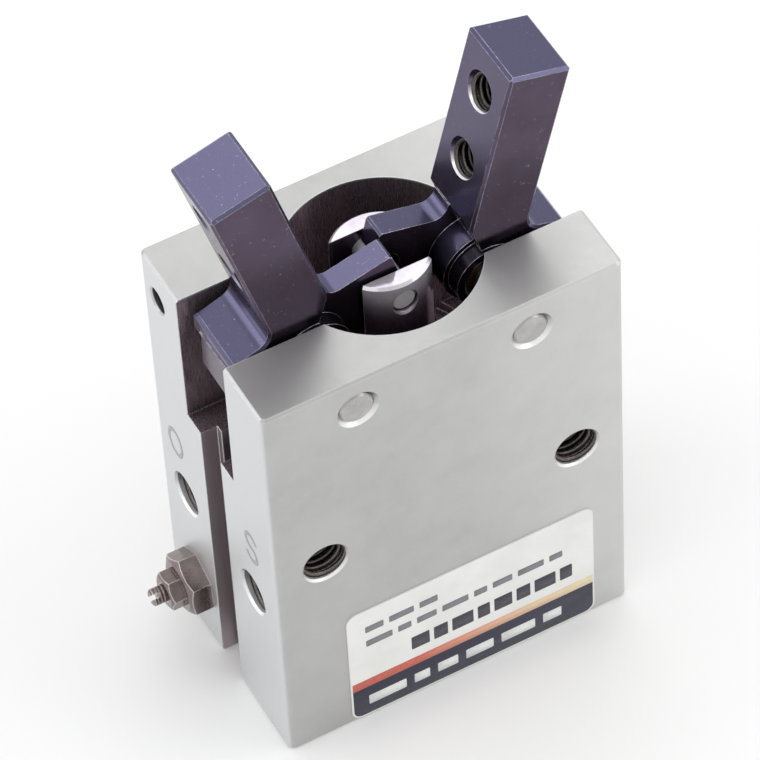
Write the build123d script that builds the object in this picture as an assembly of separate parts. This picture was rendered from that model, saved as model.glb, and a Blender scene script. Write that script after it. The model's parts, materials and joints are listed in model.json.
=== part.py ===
from build123d import *
import os
from math import radians, tan

# Two-finger angular air gripper, double acting, 20 mm bore.
# Millimetres, +Z up, origin at the centre of the flat bottom face, front face towards -Y.
# The pose drawn is the open one: fingers swung out, piston at the top of its stroke.

# ---- driving dimensions: body block ----
BODY_WIDTH = 42.0
BODY_DEPTH = 27.0
BODY_HEIGHT = 56.0
BODY_CORNER_RADIUS = 0.8
BODY_EDGE_CHAMFER = 0.3
CUTTER_OVERRUN = 1.0
HEAD_BORE_DIA = 21.4
HEAD_BORE_FLOOR_Z = 36.4
SLOT_WIDTH = 10.4
SLOT_FLOOR_Z = 37.7
GROOVE_MOUTH_WIDTH = 4.6
GROOVE_MOUTH_DEPTH = 2.0
GROOVE_CORE_WIDTH = 2.8
GROOVE_CORE_DEPTH = 4.0

# ---- driving dimensions: cylinder ----
CYLINDER_DIA = 20.0
CYLINDER_TOP_Z = 30.0
SPIGOT_RECESS_DIA = 21.0
SPIGOT_RECESS_DEPTH = 1.5
RING_GROOVE_DIA = 21.0
RING_GROOVE_Z = 2.2
RING_GROOVE_HEIGHT = 1.1
CAP_BOTTOM_Z = 3.3
CAP_FLANGE_HEIGHT = 2.8
CAP_TOP_Z = 9.3
CAP_BOSS_DIA = 16.0
CAP_BOSS_CHAMFER = 0.4
CAP_RING_GROOVE_DIA = 17.4
CAP_RING_GROOVE_Z = 4.0
CAP_RING_GROOVE_HEIGHT = 1.4
CAP_RING_DIA = 18.7
CAP_RING_CORD = 1.26
CAP_PULLER_DIA = 4.0
CAP_PULLER_DEPTH = 1.2
RETAINER_THICKNESS = 1.0
RETAINER_OUTER_DIA = 20.9
RETAINER_INNER_DIA = 17.6
RETAINER_GAP = 2.8
RETAINER_EAR_X = 2.65
RETAINER_EAR_Y = -8.25
RETAINER_EAR_DIA = 3.2
RETAINER_EYE_DIA = 1.3
SLIP_FIT = 0.03
ROD_DIA = 8.0
ROD_HOLE_DIA = 8.6
BUSH_OUTER_DIA = 11.0
BUSH_BOTTOM_Z = 33.2
BUSH_CHAMFER = 0.25
ROD_SEAL_GROOVE_DIA = 13.0
ROD_SEAL_GROOVE_Z = 31.0
ROD_SEAL_WALL = 0.6
SEAL_END_GAP = 0.05
BUMPER_THICKNESS = 1.0
HEAD_BUMPER_DIAS = (16.4, 9.4)
CAP_BUMPER_DIAS = (14.0, 9.0)

# ---- driving dimensions: pivots and fingers ----
PIVOT_X = 10.15
PIVOT_Z = 51.5
PIVOT_PIN_DIA = 4.0
PIVOT_PIN_RECESS = 0.15
PIVOT_PIN_CHAMFER = 0.25
PIVOT_RIM_DIA = 4.9
PIVOT_BUSH_DIA = 6.0
OPEN_TILT = 15.0
ARM_OPEN_ANGLE = 14.0
FINGER_INNER = -3.75
FINGER_OUTER = 3.4
FINGER_TOP = 27.35
FINGER_THICKNESS = 8.8
FINGER_TOP_CHAMFER = 0.35
FINGER_SIDE_CHAMFER = 0.3
SHORTEST_UPRIGHT = 15.0
FINGER_HOLE_HEIGHTS = (13.2, 22.2)
WEB_THICKNESS = 6.1
HUB_RADIUS = 4.6
HUB_LENGTH = 9.8
HUB_BOSS_DIA = 8.0
ARM_INSIDE_Y = 0.15
ARM_OUTSIDE_Y = 3.05
ARM_ABOVE = 4.8
ARM_BELOW = 3.4
ARM_OVERREACH = 1.3
ARM_ROOT_FILLET = 1.6
ARM_ROOT_OVERLAP = 0.1
ARM_TIP_CORNER = 0.9
ARM_TIP_CHAMFER = 0.25
ARM_SLOT_OVERTRAVEL = 0.4
CENTER_PIN_DIA = 3.0
CENTER_PIN_LENGTH = 10.0
CENTER_PIN_CHAMFER = 0.3
PIN_RUNNING_FIT = 0.05
SHOULDER_REACH = 8.9
SHOULDER_Z = 5.0
SHOULDER_FILLET = 1.9
SHOULDER_CORNER_DROP = 0.4
SHOULDER_CORNER_RUN = 0.45
SHOULDER_SLOPE_RISE = 0.3
UNDERSIDE_REACH = -1.2
TOE_REACH = 10.05
TOE_Z = -1.4
TOE_CORNER_RUN = 1.25
TOE_CORNER_DROP = 1.6
HEEL_REACH = 4.2
WEB_ROOT_OVERLAP = 0.6
UNDERSIDE_Z = 2.9
INNER_CORNER_Z = 6.9

# ---- driving dimensions: threads ----
DRILL_POINT_RATIO = 0.3
DRILL_POINT_TIP = 0.05
M5_DIA = 5.0
M5_RIM_DIA = 5.5
M4_DIA = 4.0
M4_RIM_DIA = 4.6
M3_DIA = 3.0
M3_RIM_DIA = 3.4
FACE_HOLE_X = 15.1
FACE_HOLE_Z = 29.3
FACE_HOLE_DEPTH = 8.0
BASE_HOLE_X = 15.3
BASE_HOLE_Y = 8.8
BASE_HOLE_DEPTH = 9.0
PORT_Z = 21.5
OPEN_PORT_Y = 7.8
SHUT_PORT_Y = -7.5
PORT_DEPTH = 4.6
SLANT_START_X = -16.5
SLANT_ANGLE = 62.0
SLANT_LENGTH = 13.0
LOCK_SCREW_Y = 10.0
LOCK_SCREW_Z = 51.2
LOCK_SCREW_LENGTH = 5.0
LOCK_SCREW_SOCKET_RADIUS = 0.75
LOCK_SCREW_SOCKET_DEPTH = 1.6

# ---- driving dimensions: piston group ----
ROD_HEAD_DIA = 10.9
ROD_HEAD_TOP_Z = 56.9
ROD_HEAD_EDGE = 0.3
ROD_HEAD_BOTTOM_Z = 44.6
ROD_SLOT_WIDTH = 6.8
ROD_SLOT_LEAD_IN = 0.45
PIN_HOLE_RIM_DIA = 3.5
ROD_SLOT_FLOOR_Z = 47.6
PISTON_TOP_Z = 28.7
PISTON_LENGTH = 14.4
PISTON_DIA = 19.4
PISTON_TOP_CHAMFER = 1.2
PISTON_BOTTOM_CHAMFER = 0.8
SEAL_GROOVE_DIA = 15.4
SEAL_GROOVE_HEIGHT = 2.2
UPPER_SEAL_DROP = 3.4
LOWER_SEAL_RISE = 1.4
SEAL_WALL = 0.65
SEAL_BORE_GAP = 0.1
GROOVE_FIT = 0.04
MAGNET_GROOVE_DIA = 14.4
MAGNET_GROOVE_HEIGHT = 2.8
MAGNET_DROP = 6.4
MAGNET_BORE_GAP = 0.2
MAGNET_END_GAP = 0.02
SPIGOT_DIA = 6.0
SPIGOT_SEAT_Z = 20.7
SPIGOT_END_GAP = 0.5
SPIGOT_GROOVE_DIA = 4.4
SPIGOT_GROOVE_DROP = 1.8
SPIGOT_GROOVE_HEIGHT = 1.2
SPIGOT_RING_DIA = 5.18
SPIGOT_RING_CORD = 0.78
SPIGOT_THREAD_TOP_Z = 25.1
SCREW_CLEARANCE_DIA = 4.3
SCREW_RECESS_DIA = 7.6
SCREW_RECESS_DEPTH = 4.4
SCREW_HEAD_DIA = 7.0
SCREW_HEAD_HEIGHT = 3.8
SCREW_HEAD_CHAMFER = 0.4
SCREW_TIP_Z = 24.1
SCREW_SOCKET_RADIUS = 1.5
SCREW_SOCKET_DEPTH = 2.0

# ---- driving dimensions: speed adjuster ----
NEEDLE_Y = 6.7
NEEDLE_Z = 8.3
NEEDLE_THREAD_DEPTH = 3.2
NEEDLE_RIM_DIA = 6.2
NEEDLE_HEX_AF = 6.5
NEEDLE_HEX_THICKNESS = 2.65
NEEDLE_HEX_TURN = -4.0
NEEDLE_NUT_AF = 4.0
NEEDLE_NUT_THICKNESS = 1.7
NEEDLE_NUT_TURN = 20.0
HEX_FACE_RATIO = 0.87
HEX_CHAMFER_SLOPE = 0.55
NEEDLE_SHANK_RELIEF = 0.8
NEEDLE_SHANK_END = 3.1
NEEDLE_SHANK_NECK_DIA = 3.8
NEEDLE_SHANK_NECK_OVERLAP = 0.2
NEEDLE_SCREW_DIA = 2.0
NEEDLE_SCREW_STUB = 1.6
NEEDLE_SCREW_CHAMFER = 0.2
NEEDLE_SCREW_TURN = 35.0
NEEDLE_SCREW_SLOT_WIDTH = 0.5
NEEDLE_SCREW_SLOT_DEPTH = 0.8
NEEDLE_CHAMBER_DIA = 3.0
NEEDLE_SEAT_X = -14.2
NEEDLE_SEAT_LENGTH = 1.0
NEEDLE_NECK_X = (-17.15, -16.35)
NEEDLE_NECK_DIA = 1.4
NEEDLE_NECK_OVERLAP = 0.1
NEEDLE_COLLAR_LENGTH = 0.45
NEEDLE_TIP_RADIUS = 0.25
NEEDLE_TIP_LENGTH = 2.3
NEEDLE_RING_RADIUS = 1.09
NEEDLE_RING_CORD_RADIUS = 0.38
BODY_RING_X = 0.34
BODY_RING_RADIUS = 2.26
BODY_RING_CORD_RADIUS = 0.33
ORIFICE_DIA = 1.4
ORIFICE_END_X = -5.5
FEED_X = -15.2
FEED_DIA = 2.0
PLUG_BOTTOM_Z = 0.3
PLUG_LENGTH = 3.0

# ---- driving dimensions: rating sticker ----
LABEL_X = (-13.4, 16.8)
LABEL_Z = (0.4, 18.5)
LABEL_CORNER_RADIUS = 1.3
LABEL_THICKNESS = 0.15

LEFT_FACE_X = -BODY_WIDTH / 2
FRONT_FACE_Y = -BODY_DEPTH / 2
PIN_RISE = PIVOT_X * tan(radians(ARM_OPEN_ANGLE))
CENTER_PIN_Z = PIVOT_Z + PIN_RISE
PISTON_BOTTOM_Z = PISTON_TOP_Z - PISTON_LENGTH


def bar(diameter, start, end, axis):
    """Round bar or hole cutter along X, Y or Z, from `start` to `end` measured on that axis."""
    turns = {"x": (0, 90, 0), "y": (-90, 0, 0), "z": (0, 0, 0)}
    solid = Cylinder(diameter / 2, end - start, align=(Align.CENTER, Align.CENTER, Align.MIN))
    shifts = {"x": (start, 0, 0), "y": (0, start, 0), "z": (0, 0, start)}
    return Pos(*shifts[axis]) * Rot(*turns[axis]) * solid


def ring(outer, inner, start, end, axis="z"):
    """Plain ring between two planes."""
    return bar(outer, start, end, axis) - bar(inner, start - CUTTER_OVERRUN, end + CUTTER_OVERRUN, axis)


def block(x_range, y_range, z_range):
    """Box given by its limits."""
    size = (x_range[1] - x_range[0], y_range[1] - y_range[0], z_range[1] - z_range[0])
    centre = (sum(x_range) / 2, sum(y_range) / 2, sum(z_range) / 2)
    return Pos(*centre) * Box(*size)


def rim(diameter, rim_diameter, axis, face, inward):
    """Countersunk rim of a hole that opens in the plane `face`; `inward` is +1 or -1."""
    depth = (rim_diameter - diameter) / 2
    cone = Cone(rim_diameter / 2, diameter / 2, depth, align=(Align.CENTER, Align.CENTER, Align.MIN))
    turns = {"x": (0, 90 * inward, 0), "y": (-90 * inward, 0, 0), "z": (0, 90 - 90 * inward, 0)}
    shifts = {"x": (face, 0, 0), "y": (0, face, 0), "z": (0, 0, face)}
    return Pos(*shifts[axis]) * Rot(*turns[axis]) * cone


def tapped(diameter, rim_diameter, axis, face, inward, depth):
    """Tapped hole drawn at the thread's outer diameter, with its countersink and drill point."""
    start, end = sorted((face, face + inward * depth))
    point_length = diameter * DRILL_POINT_RATIO
    upright = (Align.CENTER, Align.CENTER, Align.MIN)
    point = Cone(diameter / 2, DRILL_POINT_TIP, point_length, align=upright)
    turns = {"x": (0, 90 * inward, 0), "y": (-90 * inward, 0, 0), "z": (0, 90 - 90 * inward, 0)}
    deep = face + inward * depth
    shifts = {"x": (deep, 0, 0), "y": (0, deep, 0), "z": (0, 0, deep)}
    hole = bar(diameter, start, end, axis) + rim(diameter, rim_diameter, axis, face, inward)
    return hole + Pos(*shifts[axis]) * Rot(*turns[axis]) * point


def torus(ring_diameter, cord_diameter, z):
    """O-ring lying flat at height z, given by its mean diameter and cord."""
    return Pos(0, 0, z) * Torus(ring_diameter / 2, cord_diameter / 2)


def body_block():
    """Outer block with rounded uprights and broken edges."""
    solid = block((-BODY_WIDTH / 2, BODY_WIDTH / 2), (-BODY_DEPTH / 2, BODY_DEPTH / 2), (0, BODY_HEIGHT))
    solid = fillet(solid.edges().filter_by(Axis.Z), BODY_CORNER_RADIUS)
    ends = solid.faces().filter_by(Axis.Z)
    return chamfer(ends.edges(), BODY_EDGE_CHAMFER)


def linkage_space():
    """Round well and cross slot that house the rod head and the two levers."""
    top = BODY_HEIGHT + CUTTER_OVERRUN
    well = bar(HEAD_BORE_DIA, HEAD_BORE_FLOOR_Z, top, "z")
    half = BODY_WIDTH / 2 + CUTTER_OVERRUN
    slot = block((-half, half), (-SLOT_WIDTH / 2, SLOT_WIDTH / 2), (SLOT_FLOOR_Z, top))
    return well + slot


def sensor_groove(side):
    """Stepped groove for a position switch, open at the bottom and into the slot."""
    face = side * BODY_WIDTH / 2
    outside = face + side * CUTTER_OVERRUN
    mouth_x = sorted((outside, face - side * GROOVE_MOUTH_DEPTH))
    core_x = sorted((outside, face - side * GROOVE_CORE_DEPTH))
    span = (-CUTTER_OVERRUN, SLOT_FLOOR_Z + CUTTER_OVERRUN)
    mouth = block(mouth_x, (-GROOVE_MOUTH_WIDTH / 2, GROOVE_MOUTH_WIDTH / 2), span)
    return mouth + block(core_x, (-GROOVE_CORE_WIDTH / 2, GROOVE_CORE_WIDTH / 2), span)


def cylinder_space():
    """Cylinder bore, bottom locating recess, ring groove, rod hole, seal groove and bush seat."""
    space = bar(CYLINDER_DIA, 0, CYLINDER_TOP_Z, "z")
    space += bar(SPIGOT_RECESS_DIA, -CUTTER_OVERRUN, SPIGOT_RECESS_DEPTH, "z")
    space += bar(RING_GROOVE_DIA, RING_GROOVE_Z, RING_GROOVE_Z + RING_GROOVE_HEIGHT, "z")
    space += bar(ROD_HOLE_DIA, CYLINDER_TOP_Z - CUTTER_OVERRUN, HEAD_BORE_FLOOR_Z + CUTTER_OVERRUN, "z")
    space += bar(ROD_SEAL_GROOVE_DIA, ROD_SEAL_GROOVE_Z, BUSH_BOTTOM_Z, "z")
    space += bar(BUSH_OUTER_DIA, BUSH_BOTTOM_Z, HEAD_BORE_FLOOR_Z + CUTTER_OVERRUN, "z")
    return space


def face_holes():
    """Two tapped mounting holes in the front face and two in the back face."""
    holes = []
    for side in (-1, 1):
        for face, inward in ((FRONT_FACE_Y, 1), (-FRONT_FACE_Y, -1)):
            hole = tapped(M5_DIA, M5_RIM_DIA, "y", face, inward, FACE_HOLE_DEPTH)
            holes.append(Pos(side * FACE_HOLE_X, 0, FACE_HOLE_Z) * hole)
    return holes


def base_holes():
    """Two tapped mounting holes in the bottom face, on one diagonal."""
    hole = tapped(M5_DIA, M5_RIM_DIA, "z", 0, 1, BASE_HOLE_DEPTH)
    return [Pos(side * BASE_HOLE_X, side * BASE_HOLE_Y, 0) * hole for side in (-1, 1)]


def pivot_holes():
    """Through holes for the lever shafts, with countersunk rims on both faces."""
    holes = []
    for side in (-1, 1):
        hole = bar(PIVOT_PIN_DIA, FRONT_FACE_Y - CUTTER_OVERRUN, -FRONT_FACE_Y + CUTTER_OVERRUN, "y")
        hole += rim(PIVOT_PIN_DIA, PIVOT_RIM_DIA, "y", FRONT_FACE_Y, 1)
        hole += rim(PIVOT_PIN_DIA, PIVOT_RIM_DIA, "y", -FRONT_FACE_Y, -1)
        holes.append(Pos(side * PIVOT_X, 0, PIVOT_Z) * hole)
    return holes


def lock_screw_holes():
    """Tapped holes in the sides, down to the lever shafts, for the set screws."""
    holes = []
    depth = BODY_WIDTH / 2 - PIVOT_X - PIVOT_PIN_DIA / 4
    for side in (-1, 1):
        hole = tapped(M3_DIA, M3_RIM_DIA, "x", side * BODY_WIDTH / 2, -side, depth)
        holes.append(Pos(0, LOCK_SCREW_Y, LOCK_SCREW_Z) * hole)
    return holes


def air_passages():
    """Two tapped air ports in the left face and the drillings that join them to the cylinder."""
    port = tapped(M5_DIA, M5_RIM_DIA, "x", LEFT_FACE_X, 1, PORT_DEPTH)
    drillings = [Pos(0, OPEN_PORT_Y, PORT_Z) * port, Pos(0, SHUT_PORT_Y, PORT_Z) * port]
    drillings.append(Pos(FEED_X, OPEN_PORT_Y, 0) * bar(FEED_DIA, -CUTTER_OVERRUN, PORT_Z, "z"))
    slant = Cylinder(FEED_DIA / 2, SLANT_LENGTH, align=(Align.CENTER, Align.CENTER, Align.MIN))
    drillings.append(Pos(SLANT_START_X, SHUT_PORT_Y, PORT_Z) * Rot(0, SLANT_ANGLE, 0) * slant)
    return drillings


def needle_space():
    """Stepped hole of the speed adjuster: thread, needle chamber, seat and outlet drilling."""
    space = tapped(M5_DIA, NEEDLE_RIM_DIA, "x", LEFT_FACE_X, 1, NEEDLE_THREAD_DEPTH)
    space += bar(NEEDLE_CHAMBER_DIA, LEFT_FACE_X, NEEDLE_SEAT_X, "x")
    seat_base = (Align.CENTER, Align.CENTER, Align.MIN)
    seat = Cone(NEEDLE_CHAMBER_DIA / 2, ORIFICE_DIA / 2, NEEDLE_SEAT_LENGTH, align=seat_base)
    space += Pos(NEEDLE_SEAT_X, 0, 0) * Rot(0, 90, 0) * seat
    space += bar(ORIFICE_DIA, NEEDLE_SEAT_X, ORIFICE_END_X, "x")
    return Pos(0, NEEDLE_Y, NEEDLE_Z) * space


def body():
    """Extruded aluminium body, fully machined."""
    solid = body_block() - linkage_space() - cylinder_space() - needle_space()
    for side in (-1, 1):
        solid -= sensor_groove(side)
    for cutter in face_holes() + base_holes() + pivot_holes() + lock_screw_holes() + air_passages():
        solid -= cutter
    return solid


def end_cap():
    """Plug that closes the bottom of the cylinder, with its O-ring groove and a relieved boss."""
    flange_top = CAP_BOTTOM_Z + CAP_FLANGE_HEIGHT
    solid = bar(CYLINDER_DIA - 2 * SLIP_FIT, CAP_BOTTOM_Z, flange_top, "z")
    groove_top = CAP_RING_GROOVE_Z + CAP_RING_GROOVE_HEIGHT
    solid -= ring(RING_GROOVE_DIA, CAP_RING_GROOVE_DIA, CAP_RING_GROOVE_Z, groove_top)
    solid += bar(CAP_BOSS_DIA, flange_top, CAP_TOP_Z, "z")
    solid -= bar(CAP_PULLER_DIA, CAP_BOTTOM_Z - CUTTER_OVERRUN, CAP_BOTTOM_Z + CAP_PULLER_DEPTH, "z")
    return chamfer(solid.edges().group_by(Axis.Z)[-1], CAP_BOSS_CHAMFER)


def cap_o_ring():
    """O-ring of the end cap."""
    return torus(CAP_RING_DIA, CAP_RING_CORD, CAP_RING_GROOVE_Z + CAP_RING_GROOVE_HEIGHT / 2)


def retaining_ring():
    """Internal retaining ring with a gap and two plier eyes."""
    middle = RING_GROOVE_Z + RING_GROOVE_HEIGHT / 2
    span = (middle - RETAINER_THICKNESS / 2, middle + RETAINER_THICKNESS / 2)
    through = (span[0] - CUTTER_OVERRUN, span[1] + CUTTER_OVERRUN)
    solid = ring(RETAINER_OUTER_DIA, RETAINER_INNER_DIA, *span)
    ears = [Pos(side * RETAINER_EAR_X, RETAINER_EAR_Y, 0) for side in (-1, 1)]
    for place in ears:
        solid += place * bar(RETAINER_EAR_DIA, *span, "z")
    inner_edge = RETAINER_EAR_Y + RETAINER_EAR_DIA / 2
    outer_edge = -RETAINER_OUTER_DIA / 2
    gap_y = (outer_edge - CUTTER_OVERRUN, inner_edge + CUTTER_OVERRUN)
    solid -= block((-RETAINER_GAP / 2, RETAINER_GAP / 2), gap_y, through)
    for place in ears:
        solid -= place * bar(RETAINER_EYE_DIA, *through, "z")
    return solid


def lever_shaft(side):
    """Hardened pivot pin of one finger."""
    end = -FRONT_FACE_Y - PIVOT_PIN_RECESS
    pin = bar(PIVOT_PIN_DIA, -end, end, "y")
    pin = chamfer(pin.edges().filter_by(GeomType.CIRCLE), PIVOT_PIN_CHAMFER)
    return Pos(side * PIVOT_X, 0, PIVOT_Z) * pin


def shaft_set_screws():
    """Socket set screws that lock the two lever shafts in the back wall."""
    screws = []
    for side in (-1, 1):
        tip = PIVOT_X + PIVOT_PIN_DIA / 2
        head = side * (tip + LOCK_SCREW_LENGTH)
        start, end = sorted((side * tip, head))
        screw = bar(M3_DIA, start, end, "x")
        outline = Plane.YZ * RegularPolygon(LOCK_SCREW_SOCKET_RADIUS, 6, major_radius=False)
        screw -= Pos(head, 0, 0) * extrude(outline, LOCK_SCREW_SOCKET_DEPTH, both=True)
        screws.append(Pos(0, LOCK_SCREW_Y, LOCK_SCREW_Z) * screw)
    return Compound(children=screws)


def rod_bush():
    """Bronze bush that guides the rod and keeps the rod seal in place."""
    solid = ring(BUSH_OUTER_DIA, ROD_DIA + 2 * PIN_RUNNING_FIT, BUSH_BOTTOM_Z, HEAD_BORE_FLOOR_Z)
    return chamfer(solid.edges().group_by(Axis.Z)[-1], BUSH_CHAMFER)


def lip_seal(outer, inner, start, end, wall):
    """U-section seal with its groove facing down."""
    solid = ring(outer, inner, start, end)
    middle = (outer + inner) / 2
    gap = (outer - inner) / 2 - 2 * wall
    return solid - ring(middle + gap, middle - gap, start - CUTTER_OVERRUN, end - wall)


def rod_seal():
    """Lip seal round the rod."""
    outer = ROD_SEAL_GROOVE_DIA - SEAL_BORE_GAP
    inner = ROD_DIA + 2 * SLIP_FIT
    span = (ROD_SEAL_GROOVE_Z + SEAL_END_GAP, BUSH_BOTTOM_Z - SEAL_END_GAP)
    return lip_seal(outer, inner, *span, ROD_SEAL_WALL)


def head_bumper():
    """Rubber stop ring under the partition."""
    return ring(*HEAD_BUMPER_DIAS, CYLINDER_TOP_Z - BUMPER_THICKNESS, CYLINDER_TOP_Z)


def cap_bumper():
    """Rubber stop ring on the end cap."""
    return ring(*CAP_BUMPER_DIAS, CAP_TOP_Z, CAP_TOP_Z + BUMPER_THICKNESS)


def passage_plug():
    """Steel plug pressed into the mouth of the vertical drilling."""
    return Pos(FEED_X, OPEN_PORT_Y, 0) * bar(FEED_DIA, PLUG_BOTTOM_Z, PLUG_BOTTOM_Z + PLUG_LENGTH, "z")


def label():
    """Rating sticker on the front face."""
    width = LABEL_X[1] - LABEL_X[0]
    height = LABEL_Z[1] - LABEL_Z[0]
    outline = Plane.XZ * RectangleRounded(width, height, LABEL_CORNER_RADIUS)
    sheet = extrude(outline, LABEL_THICKNESS)
    return Pos(sum(LABEL_X) / 2, FRONT_FACE_Y, sum(LABEL_Z) / 2) * sheet


def hexagon(across_flats, start, end):
    """Hexagonal prism along X, flats upright, its outer end turned to a cone at the corners."""
    outline = Plane.YZ * RegularPolygon(across_flats / 2, 6, major_radius=False)
    solid = Pos(start, 0, 0) * Rot(30, 0, 0) * extrude(outline, end - start)
    face_radius = across_flats / 2 * HEX_FACE_RATIO
    slope_length = (across_flats - face_radius) * HEX_CHAMFER_SLOPE
    upright = (Align.CENTER, Align.CENTER, Align.MIN)
    cone = Cone(face_radius, across_flats, slope_length, align=upright)
    envelope = Pos(start, 0, 0) * Rot(0, 90, 0) * cone
    envelope += bar(2 * across_flats, start + slope_length, end + across_flats, "x")
    return solid & envelope


def needle_bore(start, end):
    """Bore that the adjusting screw runs in."""
    return bar(NEEDLE_SCREW_DIA + 2 * PIN_RUNNING_FIT, start - CUTTER_OVERRUN, end + CUTTER_OVERRUN, "x")


def needle_valve_body():
    """Hexagon-headed threaded body of the speed adjuster."""
    head_face = LEFT_FACE_X - NEEDLE_HEX_THICKNESS
    shank_end = LEFT_FACE_X + NEEDLE_SHANK_END
    solid = Rot(NEEDLE_HEX_TURN, 0, 0) * hexagon(NEEDLE_HEX_AF, head_face, LEFT_FACE_X)
    solid += bar(M5_DIA, LEFT_FACE_X + NEEDLE_SHANK_RELIEF, shank_end, "x")
    neck_start = LEFT_FACE_X - NEEDLE_SHANK_NECK_OVERLAP
    neck_end = LEFT_FACE_X + NEEDLE_SHANK_RELIEF + NEEDLE_SHANK_NECK_OVERLAP
    solid += bar(NEEDLE_SHANK_NECK_DIA, neck_start, neck_end, "x")
    return Pos(0, NEEDLE_Y, NEEDLE_Z) * (solid - needle_bore(head_face, shank_end))


def needle_body_o_ring():
    """O-ring under the hexagon head of the speed adjuster."""
    seal = Rot(0, 90, 0) * Torus(BODY_RING_RADIUS, BODY_RING_CORD_RADIUS)
    return Pos(LEFT_FACE_X + BODY_RING_X, NEEDLE_Y, NEEDLE_Z) * seal


def needle_lock_nut():
    """Thin lock nut on the adjusting screw."""
    inner_face = LEFT_FACE_X - NEEDLE_HEX_THICKNESS
    outer_face = inner_face - NEEDLE_NUT_THICKNESS
    nut = hexagon(NEEDLE_NUT_AF, outer_face, inner_face) - needle_bore(outer_face, inner_face)
    return Pos(0, NEEDLE_Y, NEEDLE_Z) * Rot(NEEDLE_NUT_TURN, 0, 0) * nut


def needle_screw():
    """Adjusting screw with a slotted outer end, an O-ring neck and a conical needle."""
    outer_end = LEFT_FACE_X - NEEDLE_HEX_THICKNESS - NEEDLE_NUT_THICKNESS - NEEDLE_SCREW_STUB
    neck_start, neck_end = NEEDLE_NECK_X
    screw = bar(NEEDLE_SCREW_DIA, outer_end, neck_start, "x")
    screw = chamfer(screw.edges().group_by(Axis.X)[0], NEEDLE_SCREW_CHAMFER)
    screw += bar(NEEDLE_NECK_DIA, neck_start - NEEDLE_NECK_OVERLAP, neck_end + NEEDLE_NECK_OVERLAP, "x")
    collar_end = neck_end + NEEDLE_COLLAR_LENGTH
    screw += bar(NEEDLE_SCREW_DIA, neck_end, collar_end, "x")
    upright = (Align.CENTER, Align.CENTER, Align.MIN)
    needle = Cone(NEEDLE_NECK_DIA / 2, NEEDLE_TIP_RADIUS, NEEDLE_TIP_LENGTH, align=upright)
    screw += Pos(collar_end, 0, 0) * Rot(0, 90, 0) * needle
    half = NEEDLE_SCREW_SLOT_WIDTH / 2
    slot_x = (outer_end - CUTTER_OVERRUN, outer_end + NEEDLE_SCREW_SLOT_DEPTH)
    screw -= block(slot_x, (-half, half), (-NEEDLE_SCREW_DIA, NEEDLE_SCREW_DIA))
    return Pos(0, NEEDLE_Y, NEEDLE_Z) * Rot(NEEDLE_SCREW_TURN, 0, 0) * screw


def needle_o_ring():
    """O-ring on the neck of the needle."""
    seal = Rot(0, 90, 0) * Torus(NEEDLE_RING_RADIUS, NEEDLE_RING_CORD_RADIUS)
    return Pos(sum(NEEDLE_NECK_X) / 2, NEEDLE_Y, NEEDLE_Z) * seal


def piston():
    """Aluminium piston with two seal grooves and a magnet groove."""
    solid = bar(PISTON_DIA, PISTON_BOTTOM_Z, PISTON_TOP_Z, "z")
    solid = chamfer(solid.edges().group_by(Axis.Z)[-1], PISTON_TOP_CHAMFER)
    solid = chamfer(solid.edges().group_by(Axis.Z)[0], PISTON_BOTTOM_CHAMFER)
    for low, high, inner in piston_grooves():
        solid -= ring(PISTON_DIA + CUTTER_OVERRUN, inner, low, high)
    solid -= bar(SPIGOT_DIA, SPIGOT_SEAT_Z, PISTON_TOP_Z + CUTTER_OVERRUN, "z")
    solid -= bar(SCREW_CLEARANCE_DIA, PISTON_BOTTOM_Z, PISTON_TOP_Z, "z")
    recess = (PISTON_BOTTOM_Z - CUTTER_OVERRUN, PISTON_BOTTOM_Z + SCREW_RECESS_DEPTH)
    return solid - bar(SCREW_RECESS_DIA, *recess, "z")


def piston_grooves():
    """Lower edge, upper edge and bottom diameter of the grooves in the piston."""
    upper_edge = PISTON_TOP_Z - UPPER_SEAL_DROP
    magnet_edge = PISTON_TOP_Z - MAGNET_DROP
    lower_edge = PISTON_BOTTOM_Z + LOWER_SEAL_RISE + SEAL_GROOVE_HEIGHT
    upper = (upper_edge - SEAL_GROOVE_HEIGHT, upper_edge, SEAL_GROOVE_DIA)
    magnet = (magnet_edge - MAGNET_GROOVE_HEIGHT, magnet_edge, MAGNET_GROOVE_DIA)
    lower = (lower_edge - SEAL_GROOVE_HEIGHT, lower_edge, SEAL_GROOVE_DIA)
    return upper, magnet, lower


def piston_seals():
    """Two seals of the piston."""
    seals = []
    for low, high, inner in piston_grooves()[::2]:
        outer = CYLINDER_DIA - SEAL_BORE_GAP
        span = (low + SEAL_END_GAP, high - SEAL_END_GAP)
        seals.append(lip_seal(outer, inner + GROOVE_FIT, *span, SEAL_WALL))
    return Compound(children=seals)


def magnet_ring():
    """Ring magnet that the position switches sense."""
    low, high, inner = piston_grooves()[1]
    outer = PISTON_DIA - MAGNET_BORE_GAP
    return ring(outer, inner + GROOVE_FIT, low + MAGNET_END_GAP, high - MAGNET_END_GAP)


def rod_slot():
    """Slot of the rod head, with a short lead-in at each of its upright mouths."""
    half = ROD_SLOT_WIDTH / 2
    span = (ROD_SLOT_FLOOR_Z, ROD_HEAD_TOP_Z + CUTTER_OVERRUN)
    mouth_x = ((ROD_HEAD_DIA / 2) ** 2 - half**2) ** 0.5
    cutter = block((-ROD_HEAD_DIA, ROD_HEAD_DIA), (-half, half), span)
    for side in (-1, 1):
        inner = side * (mouth_x - ROD_SLOT_LEAD_IN)
        outer = side * (mouth_x + CUTTER_OVERRUN)
        wide = half + CUTTER_OVERRUN + ROD_SLOT_LEAD_IN
        outline = [(inner, -half), (outer, -wide), (outer, wide), (inner, half)]
        corner = make_face(Polyline(*outline, close=True))
        cutter += Pos(0, 0, span[0]) * extrude(corner, span[1] - span[0])
    return cutter


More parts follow.
